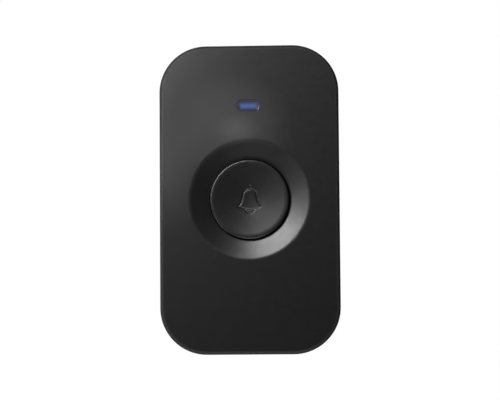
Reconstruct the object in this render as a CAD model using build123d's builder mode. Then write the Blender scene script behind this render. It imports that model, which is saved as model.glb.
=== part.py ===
from build123d import *
import os
from math import atan2, cos, hypot, radians, sin

# A wireless doorbell push: the button unit that is fixed beside a door. A base plate is screwed
# or stuck to the wall and carries the battery and the transmitter board. A cover hooks on at
# the top, rocks up about its top edge and holds the round button and the indicator's light pipe.
#
# Frame: +X to the right as the visitor sees it, +Z up, and the wall is the plane Y = 0. The
# visitor stands on the -Y side. The origin is the middle of the base's wall face. Sizes are in
# millimetres, and a "depth" is a distance out from the wall.

# ---- Case
case_width = 50.0
case_height = 86.0
corner_radius = 13.0
front_edge_radius = 1.0
parting_depth = 4.0
skirt_wall = 2.2
face_wall = 1.8

# ---- Base
base_inset = 0.3
back_edge_radius = 0.5
floor_thickness = 2.0
spigot_height = 3.0
spigot_wall = 1.2
spigot_clearance = 0.35
hook_width = 6.0
hook_spacing = 20.0
hook_height = 0.9
hook_length = 0.8
hook_clearance = 0.25
hook_play = 0.8
snap_width = 10.0
snap_height = 0.2
pry_slot_width = 7.0
pry_slot_height = 1.4
drain_width = 2.0
drain_spacing = 24.0

# ---- Seal between the base and the cover's rear edge
seal_inset = 1.0
seal_width = 0.9
seal_thickness = 0.6

# ---- Wall screws and foam pads
wall_hole_radius = 2.0
wall_head_radius = 3.4
wall_head_angle = 90
upper_screw_from_top = 10.0
pad_width = 28.0
pad_height = 14.0
pad_thickness = 0.8
pad_corner = 1.5
pad_gap = 14.0

# ---- Dish, button and pictogram
dish_rim_radius = 16.65
dish_depth = 1.9
dish_wall = 1.6
dish_rim_fillet = 2.8
dish_lip_fillet = 0.25
cap_radius = 10.8
cap_gap = 0.4
cap_recess = 0.15
cap_wall = 1.4
cap_edge_radius = 0.45
cap_rim_margin = 0.05
cap_sag = 1.3
cap_top_wall = 1.3
cap_rib = 0.9
cap_rib_height = 2.2
cap_rib_root = 0.4
collar_height = 3.9
collar_width = 1.8
flange_overlap = 1.5
flange_thickness = 1.0
key_width = 2.0
key_clearance = 0.3
key_reach = 0.9
stem_radius = 3.0
button_travel = 0.5

# ---- Bell pictogram, a plain line figure cut into the cap
bell_lip = 3.1
bell_shoulder = 1.6
bell_shoulder_z = 1.3
bell_top_z = 2.75
bell_lip_z = -1.75
bell_foot_z = -2.8
bell_pin_height = 1.0
bell_clapper = 0.95
bell_line = 0.6
bell_groove = 0.25

# ---- Silicone boot that seals the button, and the ring that clamps it
boot_thickness = 0.6
boot_flange_gap = 0.1
boot_grip_gap = 0.1
boot_roll_radius = 8.0
boot_roll_width = 2.4
boot_clamp_width = 1.4
boot_rib_inner = 14.4
small_head_radius = 1.9
small_head_height = 1.2
small_head_edge = 0.5
recess_length = 2.1
recess_width = 0.5
recess_depth = 0.65
screw_end_gap = 0.4
retainer_thickness = 1.0
retainer_outer = 18.0
retainer_screw_circle = 19.5
retainer_ear = 2.8
retainer_boss = 2.1
retainer_pilot = 0.8
retainer_pilot_depth = 4.5
retainer_hole = 1.15

# ---- Indicator slot and light pipe
slot_from_top = 16.8
slot_length = 6.4
slot_width = 2.6
slot_chamfer = 0.35
pipe_clearance = 0.1
pipe_recess = 1.0
pipe_flange_margin = 1.4
pipe_flange = 1.0
pipe_stem_inset = 0.5
pipe_led_gap = 0.4
pipe_corner = 0.6
pipe_guide_wall = 0.9
pipe_guide_height = 4.0

# ---- Board
board_thickness = 1.6
board_clearance = 0.75
board_battery_gap = 2.25
board_notch_radius = 4.5
board_post_radius = 2.6
board_post_height = 1.1
board_post_side = 3.5
board_post_from_top = 14.5
board_post_from_bottom = 6.6
board_screw_radius = 1.0
board_screw_hole = 1.2
board_screw_bite = 2.0

# ---- Push switch on the board
switch_size = 6.0
switch_body_height = 3.2
switch_plate_thickness = 0.3
switch_cap_radius = 1.75
switch_cap_height = 0.8
switch_corner = 0.5
dome_rise = 0.7
dome_knee = 0.56
switch_well = 1.95
switch_floor = 0.8
dome_thickness = 0.12
dome_radius = 1.85
switch_pin = 0.7
switch_pin_foil = 0.23

# ---- Small parts on the board
chip_length = 8.7
chip_width = 3.9
chip_height = 1.5
chip_chamfer = 0.25
chip_from_side = 10.9
chip_from_bottom = 11.2
chip_pin_pitch = 1.27
chip_pins_a_side = 7
chip_standoff = 0.15
chip_leg_width = 0.42
chip_leg_reach = 1.05
chip_leg_thickness = 0.2
transistor_length = 2.9
transistor_width = 1.3
transistor_height = 0.95
transistor_chamfer = 0.16
transistor_leg_pitch = 1.9
transistor_leg_reach = 0.55
transistor_standoff = 0.1
filter_foot_height = 0.8
filter_foot_margin = 0.3
filter_edge = 0.4
antenna_lift = 0.5
spring_cone = 26.0
can_radius = 4.2
can_height = 2.6
can_flange = 0.5
can_from_side = 9.9
can_below_switch = 8.6
transistor_from_side = 9.7
transistor_z = 6.5
filter_radius = 2.5
filter_height = 7.0
filter_from_side = 7.5
filter_from_top = 8.5
chip_part_length = 1.6
chip_part_width = 0.8
chip_part_end = 0.3
capacitor_height = 0.8
resistor_height = 0.45
led_length = 3.2
led_width = 1.6
led_base_height = 0.5
led_dome_length = 2.0
led_dome_width = 1.4
led_dome_corner = 0.5
led_dome_height = 0.6
led_dome_edge = 0.3

# ---- Antenna coil
antenna_turns = 5.5
antenna_radius = 2.0
antenna_wire = 0.35
antenna_leg = 0.38
antenna_pitch = 1.3
antenna_from_side = 12.5
antenna_from_top = 7.5

# ---- Battery, a 12 V cell of the small 10.3 x 28.5 mm size, and its contacts
battery_radius = 5.15
battery_length = 28.5
battery_nub_radius = 2.2
battery_nub_height = 1.0
battery_wrap = 0.1
battery_wrap_lip = 0.8
battery_edge = 0.4
washer_radius = 4.1
washer_thickness = 0.25
terminal_edge = 0.3
battery_lift = 0.35
battery_from_bottom = 16.0
battery_x = 1.3
cradle_clearance = 0.15
cradle_rib = 1.2
cradle_width = 13.0
cradle_height = 4.4
spring_gap = 3.0
spring_turns = 3
spring_wire = 0.3
spring_base_radius = 3.6
contact_thickness = 0.3
contact_size = 9.0
contact_wall = 1.3
contact_wall_height = 8.0
contact_tail = 1.5
contact_foot = 2.0

# ---- Places worked out from the sizes above
# The case is as deep as what is stacked in it: floor, posts, board, switch, boot, cap and dish.
board_back = floor_thickness + board_post_height
board_front = board_back + board_thickness
switch_top = board_front + switch_body_height
stem_end = switch_top + switch_plate_thickness + switch_cap_height
boot_back = stem_end
boot_front = boot_back + boot_thickness
land_depth = boot_front + boot_flange_gap + button_travel + flange_thickness
dish_floor = land_depth + collar_height
case_depth = dish_floor + dish_depth
spigot_inset = skirt_wall + spigot_clearance
spigot_inner = spigot_inset + spigot_wall
spigot_tip = parting_depth + spigot_height
face_inner = case_depth - face_wall

battery_z = battery_from_bottom - case_height / 2
upper_screw_z = case_height / 2 - upper_screw_from_top
lower_screw_z = battery_z
pads_z = (upper_screw_z + lower_screw_z) / 2
slot_z = case_height / 2 - slot_from_top
board_side_x = case_width / 2 - spigot_inner - board_clearance
board_top_z = case_height / 2 - spigot_inner - board_clearance
board_bottom_z = battery_z + battery_radius + board_battery_gap
board_post_x = board_side_x - board_post_side
board_post_high_z = board_top_z - board_post_from_top
board_post_low_z = board_bottom_z + board_post_from_bottom
chip_x = chip_from_side - board_side_x
chip_z = board_bottom_z + chip_from_bottom
can_x = board_side_x - can_from_side
can_z = -can_below_switch
transistor_x = board_side_x - transistor_from_side
filter_x = filter_from_side - board_side_x
filter_z = board_top_z - filter_from_top
antenna_x = board_side_x - antenna_from_side
antenna_z = board_top_z - antenna_from_top

hole_radius = cap_radius + cap_gap
collar_radius = hole_radius + collar_width
flange_radius = cap_radius + flange_overlap + cap_gap
cap_top = case_depth - cap_recess
cap_under = cap_top - cap_sag - cap_top_wall
boot_rib_outer = boot_rib_inner + boot_clamp_width
dish_slope = atan2(dish_depth, dish_rim_radius - hole_radius)
dish_back_radius = dish_rim_radius + dish_wall * sin(dish_slope)
pocket_height = hook_height + hook_clearance - spigot_clearance

filter_foot_size = 2 * filter_radius + filter_foot_margin
battery_depth = floor_thickness + battery_lift + battery_radius
battery_right = battery_x + battery_length / 2
battery_left = battery_x - battery_length / 2
spring_plate_x = battery_left - spring_gap
pipe_front = case_depth - pipe_recess
pipe_back = board_front + led_base_height + led_dome_height + pipe_led_gap

# A section through the button's axis: its first axis is the radius, its second the depth.
section = Plane(origin=(0, 0, 0), x_dir=(1, 0, 0), z_dir=(0, 0, -1))

os.makedirs("parts", exist_ok=True)


def out(depth):
    """A sketch plane that faces the visitor, this far out from the wall."""
    return Plane.XZ.offset(depth)


def outline(inset):
    """The case's rounded outline, drawn in by the inset on every side."""
    RectangleRounded(case_width - 2 * inset, case_height - 2 * inset, corner_radius - inset)


def dish_back(radius):
    """Depth of the dish wall's rear face at a radius from the button's axis."""
    surface = dish_floor + (radius - hole_radius) * dish_depth / (dish_rim_radius - hole_radius)
    return surface - dish_wall / cos(dish_slope)


def keep(piece, name):
    """Label a finished piece and write its STEP file."""
    piece.part.label = name
    export_step(piece.part, f"parts/{name}.step")


# ---- Front cover: skirt, face, dish, button collar and the rib that the boot is clamped to
retainer_spots = PolarLocations(retainer_screw_circle, 4, start_angle=45)
with BuildPart() as front_cover:
    with BuildSketch(out(parting_depth)):
        outline(0)
    extrude(amount=case_depth - parting_depth)
    fillet(front_cover.faces().sort_by(Axis.Y)[0].edges(), front_edge_radius)
    with BuildSketch(out(parting_depth)):
        outline(skirt_wall)
    extrude(amount=face_inner - parting_depth, mode=Mode.SUBTRACT)
    # The dish wall, its collar and the rib, as one ring turned about the button's axis.
    with BuildSketch(section):
        with BuildLine():
            Polyline(
                (hole_radius, land_depth),
                (hole_radius, dish_floor),
                (dish_rim_radius, case_depth),
                (dish_back_radius, case_depth - dish_wall * cos(dish_slope)),
                (boot_rib_outer, dish_back(boot_rib_outer)),
                (boot_rib_outer, boot_front),
                (boot_rib_inner, boot_front),
                (boot_rib_inner, dish_back(boot_rib_inner)),
                (collar_radius, dish_back(collar_radius)),
                (collar_radius, land_depth),
                close=True,
            )
        make_face()
    revolve(axis=Axis.Y)
    with BuildSketch(section):
        with BuildLine():
            Polyline(
                (0, land_depth),
                (hole_radius, land_depth),
                (hole_radius, dish_floor),
                (dish_rim_radius, case_depth),
                (0, case_depth),
                close=True,
            )
        make_face()
    revolve(axis=Axis.Y, mode=Mode.SUBTRACT)
    round_edges = front_cover.edges().filter_by(GeomType.CIRCLE)
    rim = round_edges.filter_by(lambda e: abs(e.radius - dish_rim_radius) < 0.01)
    fillet(rim, dish_rim_fillet)
    round_edges = front_cover.edges().filter_by(GeomType.CIRCLE)
    lip = round_edges.filter_by(lambda e: abs(e.radius - hole_radius) < 0.01).sort_by(Axis.Y)[0]
    fillet(lip, dish_lip_fillet)
    # Keys on the land stop the cap from turning.
    with BuildSketch(out(land_depth - flange_thickness)):
        with PolarLocations((collar_radius + flange_radius) / 2, 2):
            Rectangle(collar_radius - flange_radius + 2 * key_reach, key_width)
    extrude(amount=flange_thickness)
    # Bosses for the ring's screws.
    with BuildSketch(out(boot_back)):
        with retainer_spots:
            Circle(retainer_boss)
    extrude(amount=face_inner + face_wall / 2 - boot_back)
    with BuildSketch(out(boot_back)):
        with retainer_spots:
            Circle(retainer_pilot)
    extrude(amount=retainer_pilot_depth, mode=Mode.SUBTRACT)
    # The light pipe's guide, and the slot that it looks out of.
    with BuildSketch(out(face_inner - pipe_flange - pipe_guide_height)):
        with Locations((0, slot_z)):
            SlotOverall(
                slot_length + 2 * pipe_flange_margin + 2 * pipe_guide_wall,
                slot_width + 2 * pipe_flange_margin + 2 * pipe_guide_wall,
            )
            SlotOverall(
                slot_length + 2 * pipe_flange_margin + 2 * pipe_clearance,
                slot_width + 2 * pipe_flange_margin + 2 * pipe_clearance,
                mode=Mode.SUBTRACT,
            )
    extrude(amount=pipe_flange + pipe_guide_height)
    with BuildSketch(out(face_inner)):
        with Locations((0, slot_z)):
            SlotOverall(slot_length, slot_width)
    extrude(amount=face_wall, mode=Mode.SUBTRACT)
    slot_rim = front_cover.edges().filter_by_position(Axis.Y, -case_depth - 0.01, -case_depth + 0.01)
    slot_rim = slot_rim.filter_by_position(Axis.Z, slot_z - slot_width, slot_z + slot_width)
    chamfer(slot_rim.filter_by_position(Axis.X, -slot_length, slot_length), slot_chamfer)
    # Pockets in the top wall for the base's hooks, a slot to prise the cover and two drains.
    with BuildSketch(out(spigot_tip - hook_length - hook_play)):
        with Locations((0, case_height / 2 - skirt_wall)):
            with GridLocations(hook_spacing, 0, 2, 1):
                Rectangle(hook_width + 2 * hook_clearance, 2 * pocket_height)
    extrude(amount=hook_length + hook_play + hook_clearance, mode=Mode.SUBTRACT)
    with BuildSketch(out(parting_depth)):
        with Locations((0, -case_height / 2)):
            Rectangle(pry_slot_width, 2 * skirt_wall)
            with GridLocations(drain_spacing, 0, 2, 1):
                Rectangle(drain_width, 2 * skirt_wall)
    extrude(amount=pry_slot_height, mode=Mode.SUBTRACT)
keep(front_cover, "front_cover")

# ---- Button cap: a hollow crown with a shallow concave top, a flange below and a centre stem
sag_radius = cap_radius - cap_edge_radius - cap_rim_margin
sphere_radius = (sag_radius**2 + cap_sag**2) / (2 * cap_sag)
with BuildPart() as button_cap:
    with BuildSketch(out(land_depth - flange_thickness)):
        Circle(flange_radius)
        with PolarLocations(flange_radius, 2):
            Rectangle(2 * (flange_radius - cap_radius), key_width + 2 * key_clearance, mode=Mode.SUBTRACT)
    extrude(amount=flange_thickness)
    with BuildSketch(out(land_depth - flange_thickness)):
        Circle(cap_radius)
    extrude(amount=cap_top - land_depth + flange_thickness)
    with Locations((0, -(cap_top - cap_sag + sphere_radius), 0)):
        Sphere(sphere_radius, mode=Mode.SUBTRACT)
    crown_edge = button_cap.edges().filter_by(GeomType.CIRCLE)
    crown_edge = crown_edge.filter_by(lambda e: abs(e.radius - cap_radius) < 0.01).sort_by(Axis.Y)[0]
    fillet(crown_edge, cap_edge_radius)
    with BuildSketch(out(land_depth - flange_thickness)):
        Circle(cap_radius - cap_wall)
    extrude(amount=cap_under - land_depth + flange_thickness, mode=Mode.SUBTRACT)
    with BuildSketch(out(cap_under - cap_rib_height)):
        Rectangle(2 * (cap_radius - cap_wall + cap_rib_root), cap_rib)
        Rectangle(cap_rib, 2 * (cap_radius - cap_wall + cap_rib_root))
    extrude(amount=cap_rib_height)
    with BuildSketch(out(stem_end)):
        Circle(stem_radius)
    extrude(amount=cap_under - stem_end)
    # The pictogram: an outlined bell with a pin on top and half a clapper below.
    with BuildSketch(Plane.XY, mode=Mode.PRIVATE) as bell:
        with BuildLine():
            dome = TangentArc((0, bell_top_z), (bell_shoulder, bell_shoulder_z), tangent=(1, 0))
            TangentArc((bell_shoulder, bell_shoulder_z), (bell_lip, bell_lip_z), tangent=dome % 1)
            mirror(about=Plane.YZ)
            ThreePointArc((-bell_lip, bell_lip_z), (0, bell_foot_z), (bell_lip, bell_lip_z))
        make_face()
    with BuildSketch(out(cap_top - cap_sag - bell_groove)):
        offset(bell.sketch, amount=bell_line / 2)
        offset(bell.sketch, amount=-bell_line / 2, mode=Mode.SUBTRACT)
        with Locations((0, bell_top_z + bell_pin_height / 2)):
            SlotOverall(bell_pin_height + bell_line, bell_line, rotation=90)
        with Locations((0, bell_foot_z)):
            with BuildSketch(Plane.XY, mode=Mode.PRIVATE) as clapper:
                Circle(bell_clapper + bell_line / 2)
                Circle(bell_clapper - bell_line / 2, mode=Mode.SUBTRACT)
                Rectangle(
                    4 * bell_clapper, 2 * bell_clapper, align=(Align.CENTER, Align.MIN), mode=Mode.SUBTRACT
                )
            add(clapper.sketch)
    extrude(amount=cap_sag + bell_groove, mode=Mode.SUBTRACT)
keep(button_cap, "button_cap")

# ---- Silicone boot: a thin ring with one rolled convolution, clamped at its rim
with BuildPart() as button_boot:
    with BuildSketch(section):
        with BuildLine():
            Polyline(
                (stem_radius + boot_grip_gap, boot_back),
                (boot_roll_radius - boot_roll_width / 2, boot_back),
                (boot_roll_radius, boot_back - boot_thickness),
                (boot_roll_radius + boot_roll_width / 2, boot_back),
                (boot_rib_outer, boot_back),
                (boot_rib_outer, boot_front),
                (boot_roll_radius + boot_roll_width / 2, boot_front),
                (boot_roll_radius, boot_front - boot_thickness),
                (boot_roll_radius - boot_roll_width / 2, boot_front),
                (stem_radius + boot_grip_gap, boot_front),
                close=True,
            )
        make_face()
    revolve(axis=Axis.Y)
keep(button_boot, "button_boot")

# ---- Clamping ring behind the boot, and the four screws that hold it to the cover's bosses
with BuildPart() as boot_retainer:
    with BuildSketch(out(boot_back - retainer_thickness)):
        Circle(retainer_outer)
        with retainer_spots:
            Circle(retainer_ear)
        Circle(boot_rib_inner, mode=Mode.SUBTRACT)
        with retainer_spots:
            Circle(retainer_hole, mode=Mode.SUBTRACT)
    extrude(amount=retainer_thickness)
keep(boot_retainer, "boot_retainer")


def pan_screws(spots, seat, shank_radius, length, outward):
    """Pan-head screws with their heads seated at a depth; outward ones point to the visitor."""
    side = 1 if outward else -1
    head_plane = seat - side * small_head_height
    with BuildPart() as screws:
        with BuildSketch(out(head_plane)):
            with spots:
                Circle(small_head_radius)
        extrude(amount=side * small_head_height)
        rims = screws.edges().filter_by(GeomType.CIRCLE)
        rims = rims.filter_by_position(Axis.Y, -head_plane - 0.01, -head_plane + 0.01)
        fillet(rims, small_head_edge)
        with BuildSketch(out(seat)):
            with spots:
                Circle(shank_radius)
        extrude(amount=side * length)
        with BuildSketch(out(head_plane)):
            with spots:
                Rectangle(recess_length, recess_width)
                Rectangle(recess_width, recess_length)
        extrude(amount=side * recess_depth, mode=Mode.SUBTRACT)
    return screws


retainer_grip = retainer_thickness + retainer_pilot_depth - screw_end_gap
retainer_screws = pan_screws(
    retainer_spots, boot_back - retainer_thickness, retainer_pilot, retainer_grip, True
)
keep(retainer_screws, "retainer_screws")

# ---- Light pipe: a clear oval window, its flange and the stem that reaches down to the lamp
with BuildPart() as light_pipe:
    with BuildSketch(out(face_inner - pipe_flange)):
        with Locations((0, slot_z)):
            SlotOverall(slot_length + 2 * pipe_flange_margin, slot_width + 2 * pipe_flange_margin)
    extrude(amount=pipe_flange)
    with BuildSketch(out(face_inner)):
        with Locations((0, slot_z)):
            SlotOverall(slot_length - 2 * pipe_clearance, slot_width - 2 * pipe_clearance)
    extrude(amount=pipe_front - face_inner)
    with BuildSketch(out(face_inner - pipe_flange)):
        with Locations((0, slot_z)):
            RectangleRounded(slot_length, slot_width, pipe_corner)
    with BuildSketch(out(pipe_back)):
        with Locations((0, slot_z)):
            RectangleRounded(led_length + 2 * pipe_stem_inset, led_width + pipe_stem_inset, pipe_corner)
    loft()
keep(light_pipe, "light_pipe")

# ---- Rear base: floor, rim, spigot, hooks, board posts, battery cradle and contact walls
wall_spots = [(0, upper_screw_z), (0, lower_screw_z)]
post_spots = [(side * board_post_x, z) for side in (-1, 1) for z in (board_post_low_z, board_post_high_z)]
pad_spots = [(0, pads_z + side * (pad_gap + pad_height) / 2) for side in (-1, 1)]
spring_wall_x = spring_plate_x - contact_thickness - contact_wall / 2
plate_wall_x = battery_right + contact_thickness + contact_wall / 2


def seal_ring():
    """The flat ring that the seal and its groove share."""
    outline(seal_inset)
    with BuildSketch(Plane.XY, mode=Mode.PRIVATE) as inside:
        outline(seal_inset + seal_width)
    add(inside.sketch, mode=Mode.SUBTRACT)


with BuildPart() as rear_base:
    with BuildSketch(out(0)):
        outline(base_inset)
    extrude(amount=parting_depth)
    fillet(rear_base.faces().sort_by(Axis.Y)[-1].edges(), back_edge_radius)
    with BuildSketch(out(parting_depth)):
        outline(spigot_inset)
    extrude(amount=spigot_height)
    with BuildSketch(out(floor_thickness)):
        outline(spigot_inner)
    extrude(amount=spigot_tip - floor_thickness, mode=Mode.SUBTRACT)
    # Groove for the seal, in the seat that the cover's rear edge closes on.
    with BuildSketch(out(parting_depth - seal_thickness)):
        seal_ring()
    extrude(amount=seal_thickness, mode=Mode.SUBTRACT)
    # Two hooks on the spigot's top edge, and a low snap ridge along its bottom edge.
    with BuildSketch(out(spigot_tip - hook_length)):
        with Locations((0, case_height / 2 - spigot_inset)):
            with GridLocations(hook_spacing, 0, 2, 1):
                Rectangle(hook_width, 2 * hook_height)
        with Locations((0, -case_height / 2 + spigot_inset)):
            Rectangle(snap_width, 2 * snap_height)
    extrude(amount=hook_length)
    # Board posts with pilot holes.
    with BuildSketch(out(floor_thickness)):
        with Locations(*post_spots):
            Circle(board_post_radius)
    extrude(amount=board_back - floor_thickness)
    with BuildSketch(out(board_back - board_screw_bite)):
        with Locations(*post_spots):
            Circle(board_screw_radius)
    extrude(amount=board_screw_bite, mode=Mode.SUBTRACT)
    # Cradle ribs that the battery lies in.
    with BuildSketch(out(floor_thickness)):
        with Locations((battery_x, battery_z)):
            with GridLocations(battery_length / 3, 0, 3, 1):
                Rectangle(cradle_rib, cradle_width)
    extrude(amount=cradle_height)
    with BuildSketch(Plane.YZ.offset(battery_left)):
        with Locations((-battery_depth, battery_z)):
            Circle(battery_radius + cradle_clearance)
    extrude(amount=battery_length, mode=Mode.SUBTRACT)
    # Walls behind the two battery contacts.
    with BuildSketch(out(floor_thickness)):
        with Locations((spring_wall_x, battery_z), (plate_wall_x, battery_z)):
            Rectangle(contact_wall, contact_size)
    extrude(amount=contact_wall_height)
    # Countersunk holes for the wall screws.
    with Locations(*[out(floor_thickness) * Pos(x, z) for x, z in wall_spots]):
        CounterSinkHole(wall_hole_radius, wall_head_radius, floor_thickness, wall_head_angle)
    # Recesses for the foam pads.
    with BuildSketch(out(0)):
        with Locations(*pad_spots):
            RectangleRounded(pad_width, pad_height, pad_corner)
    extrude(amount=pad_thickness, mode=Mode.SUBTRACT)
keep(rear_base, "rear_base")

# ---- Seal and foam pads
with BuildPart() as case_seal:
    with BuildSketch(out(parting_depth - seal_thickness)):
        seal_ring()
    extrude(amount=seal_thickness)
keep(case_seal, "case_seal")

with BuildPart() as foam_pads:
    with BuildSketch(out(0)):
        with Locations(*pad_spots):
            RectangleRounded(pad_width, pad_height, pad_corner)
    extrude(amount=pad_thickness)
keep(foam_pads, "foam_pads")

# ---- Transmitter board: fills the case above the battery, notched for the upper wall screw
with BuildPart() as circuit_board:
    with BuildSketch(out(board_back)):
        outline(spigot_inner + board_clearance)
        with Locations((0, board_bottom_z)):
            Rectangle(case_width, case_height, align=(Align.CENTER, Align.MAX), mode=Mode.SUBTRACT)
        with Locations((0, upper_screw_z)):
            Circle(board_notch_radius, mode=Mode.SUBTRACT)
            Rectangle(
                2 * board_notch_radius, case_height, align=(Align.CENTER, Align.MIN), mode=Mode.SUBTRACT
            )
        with Locations(*post_spots):
            Circle(board_screw_hole, mode=Mode.SUBTRACT)
    extrude(amount=board_thickness)
keep(circuit_board, "circuit_board")

board_grip = board_thickness + board_screw_bite - screw_end_gap
board_screws = pan_screws(Locations(*post_spots), board_front, board_screw_radius, board_grip, False)
keep(board_screws, "board_screws")

# ---- Push switch: moulded body, steel cover plate, snap dome, plunger and four pins
with BuildPart() as switch_body:
    with BuildSketch(out(board_front)):
        RectangleRounded(switch_size, switch_size, switch_corner)
    extrude(amount=switch_body_height)
    with BuildSketch(out(board_front + switch_floor)):
        Circle(switch_well)
    extrude(amount=switch_body_height - switch_floor, mode=Mode.SUBTRACT)
keep(switch_body, "switch_body")

with BuildPart() as switch_plate:
    with BuildSketch(out(switch_top)):
        RectangleRounded(switch_size, switch_size, switch_corner)
        Circle(switch_well, mode=Mode.SUBTRACT)
    extrude(amount=switch_plate_thickness)
keep(switch_plate, "switch_plate")

plunger_foot = board_front + switch_floor + dome_rise + dome_thickness
with BuildPart() as switch_plunger:
    with BuildSketch(out(plunger_foot)):
        Circle(switch_cap_radius)
    extrude(amount=stem_end - plunger_foot)
keep(switch_plunger, "switch_plunger")

dome_seat = board_front + switch_floor
with BuildPart() as switch_dome:
    with BuildSketch(section):
        with BuildLine():
            Polyline(
                (0, dome_seat + dome_rise),
                (dome_radius / 2, dome_seat + dome_knee),
                (dome_radius, dome_seat),
                (dome_radius, dome_seat + dome_thickness),
                (dome_radius / 2, dome_seat + dome_knee + dome_thickness),
                (0, dome_seat + dome_rise + dome_thickness),
                close=True,
            )
        make_face()
    revolve(axis=Axis.Y)
keep(switch_dome, "switch_dome")

with BuildPart() as switch_pins:
    with BuildSketch(out(board_front)):
        for side in (-1, 1):
            with Locations((side * (switch_size + switch_pin) / 2, 0)):
                with GridLocations(0, switch_size - switch_pin, 1, 2):
                    Rectangle(switch_pin, switch_pin)
    extrude(amount=switch_floor)
    with BuildSketch(out(board_front)):
        for side in (-1, 1):
            foil_side = Align.MIN if side > 0 else Align.MAX
            with Locations((side * (switch_size / 2 + switch_pin), 0)):
                with GridLocations(0, switch_size - switch_pin, 1, 2):
                    Rectangle(switch_pin, switch_pin, align=(foil_side, Align.CENTER))
    extrude(amount=switch_pin_foil)
keep(switch_pins, "switch_pins")

# ---- Encoder chip with its gull-wing legs
with BuildPart() as encoder_chip:
    with BuildSketch(out(board_front + chip_standoff)):
        with Locations((chip_x, chip_z)):
            Rectangle(chip_length, chip_width)
    extrude(amount=chip_height)
    chamfer(encoder_chip.faces().sort_by(Axis.Y)[0].edges(), chip_chamfer)
keep(encoder_chip, "encoder_chip")

with BuildPart() as chip_legs:
    for side in (-1, 1):
        leg_root = chip_z + side * chip_width / 2
        leg_align = (Align.CENTER, Align.MIN if side > 0 else Align.MAX)
        with BuildSketch(out(board_front)):
            with Locations((chip_x, leg_root)):
                with GridLocations(chip_pin_pitch, 0, chip_pins_a_side, 1):
                    Rectangle(chip_leg_width, chip_leg_reach, align=leg_align)
        extrude(amount=chip_leg_thickness)
        with BuildSketch(out(board_front)):
            with Locations((chip_x, leg_root)):
                with GridLocations(chip_pin_pitch, 0, chip_pins_a_side, 1):
                    Rectangle(chip_leg_width, chip_leg_thickness * 2, align=leg_align)
        extrude(amount=chip_standoff + chip_height / 2)
keep(chip_legs, "chip_legs")

# ---- Resonator in a round metal can with a thin flange
with BuildPart() as resonator_can:
    with BuildSketch(out(board_front)):
        with Locations((can_x, can_z)):
            Circle(can_radius)
    extrude(amount=can_flange)
    with BuildSketch(out(board_front + can_flange)):
        with Locations((can_x, can_z)):
            Circle(can_radius - can_flange)
    extrude(amount=can_height - can_flange)
    fillet(resonator_can.faces().sort_by(Axis.Y)[0].edges(), can_flange)
keep(resonator_can, "resonator_can")

# ---- Radio transistor and its three legs
with BuildPart() as radio_transistor:
    with BuildSketch(out(board_front + transistor_standoff)):
        with Locations((transistor_x, transistor_z)):
            Rectangle(transistor_length, transistor_width)
    extrude(amount=transistor_height)
    chamfer(radio_transistor.faces().sort_by(Axis.Y)[0].edges(), transistor_chamfer)
keep(radio_transistor, "radio_transistor")

with BuildPart() as transistor_legs:
    with BuildSketch(out(board_front)):
        with Locations((transistor_x, transistor_z + transistor_width / 2)):
            Rectangle(chip_leg_width, transistor_leg_reach, align=(Align.CENTER, Align.MIN))
        with Locations((transistor_x, transistor_z - transistor_width / 2)):
            with GridLocations(transistor_leg_pitch, 0, 2, 1):
                Rectangle(chip_leg_width, transistor_leg_reach, align=(Align.CENTER, Align.MAX))
    extrude(amount=transistor_standoff + transistor_height / 3)
keep(transistor_legs, "transistor_legs")

# ---- Filter capacitor: a can standing on a moulded foot
with BuildPart() as filter_foot:
    with BuildSketch(out(board_front)):
        with Locations((filter_x, filter_z)):
            RectangleRounded(filter_foot_size, filter_foot_size, filter_edge)
    extrude(amount=filter_foot_height)
keep(filter_foot, "filter_foot")

with BuildPart() as filter_can:
    with BuildSketch(out(board_front + filter_foot_height)):
        with Locations((filter_x, filter_z)):
            Circle(filter_radius)
    extrude(amount=filter_height - filter_foot_height)
    fillet(filter_can.faces().sort_by(Axis.Y)[0].edges(), filter_edge)
keep(filter_can, "filter_can")

# ---- Chip capacitors and resistors: bodies and their tinned ends. Each spot is x, z, turn.
capacitor_spots = [
    (-16.0, 2.0, 90),
    (-13.4, 2.0, 90),
    (6.8, -2.4, 0),
    (15.8, 1.0, 90),
    (10.8, 12.0, 0),
    (5.8, 19.6, 0),
    (-2.0, -12.6, 90),
]
resistor_spots = [
    (-16.0, 7.0, 90),
    (-13.4, 7.0, 90),
    (-10.8, 7.0, 90),
    (-6.4, 22.4, 0),
    (7.2, 8.4, 90),
    (15.8, 6.0, 90),
    (3.4, -12.6, 90),
    (-5.4, 17.6, 0),
]


def chip_bodies(spots, height):
    """Ceramic bodies between the tinned ends, one at each spot."""
    with BuildPart() as bodies:
        with BuildSketch(out(board_front)):
            for x, z, turn in spots:
                with Locations(Location((x, z, 0), turn)):
                    Rectangle(chip_part_length - 2 * chip_part_end, chip_part_width)
        extrude(amount=height)
    return bodies


def chip_ends(spots, height):
    """The two tinned ends of each small part."""
    with BuildPart() as ends:
        with BuildSketch(out(board_front)):
            for x, z, turn in spots:
                with Locations(Location((x, z, 0), turn)):
                    with GridLocations(chip_part_length - chip_part_end, 0, 2, 1):
                        Rectangle(chip_part_end, chip_part_width)
        extrude(amount=height)
    return ends


chip_capacitors = chip_bodies(capacitor_spots, capacitor_height)
keep(chip_capacitors, "chip_capacitors")
capacitor_ends = chip_ends(capacitor_spots, capacitor_height)
keep(capacitor_ends, "capacitor_ends")
chip_resistors = chip_bodies(resistor_spots, resistor_height)
keep(chip_resistors, "chip_resistors")
resistor_ends = chip_ends(resistor_spots, resistor_height)
keep(resistor_ends, "resistor_ends")

# ---- Indicator lamp under the light pipe: a moulded base and a clear dome
with BuildPart() as lamp_base:
    with BuildSketch(out(board_front)):
        with Locations((0, slot_z)):
            Rectangle(led_length, led_width)
    extrude(amount=led_base_height)
keep(lamp_base, "lamp_base")

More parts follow.
